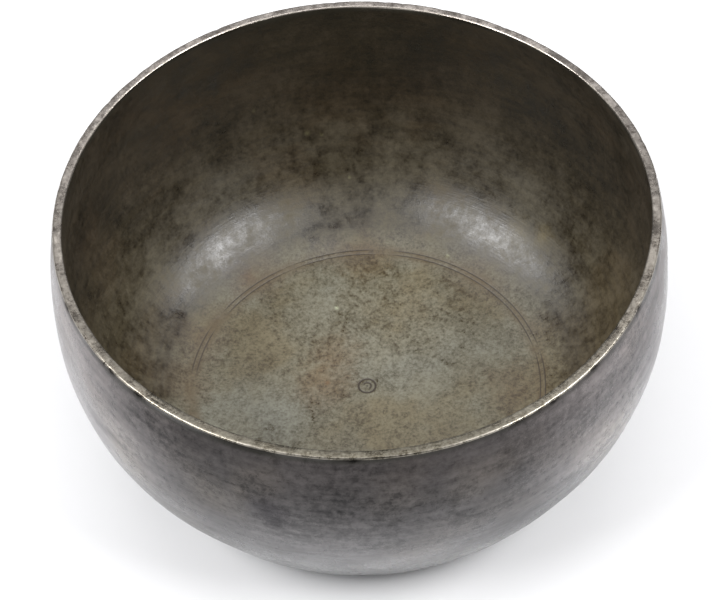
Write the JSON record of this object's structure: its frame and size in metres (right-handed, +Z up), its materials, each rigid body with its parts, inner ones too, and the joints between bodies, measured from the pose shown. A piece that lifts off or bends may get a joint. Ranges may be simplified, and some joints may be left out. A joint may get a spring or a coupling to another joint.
{
  "type": "shaving bowl",
  "caption": "Hand-hammered bronze lather bowl: round belly, in-curved mouth with a flat-cut lip, flat foot, and a fine engraved ring and centre mark on the inside floor.",
  "frame": {"origin": "centre of the flat foot, on the surface the bowl stands on", "axes": "+Z up the bowl's axis of symmetry, out of its mouth"},
  "size_m": [0.1556, 0.1556, 0.0729],
  "materials": {
    "bronze": "hand-hammered bronze with a dark satin patina, worn bright along the lip's edges"
  },
  "bodies": {
    "root": {"bowl": "bronze"}
  },
  "joints": []
}
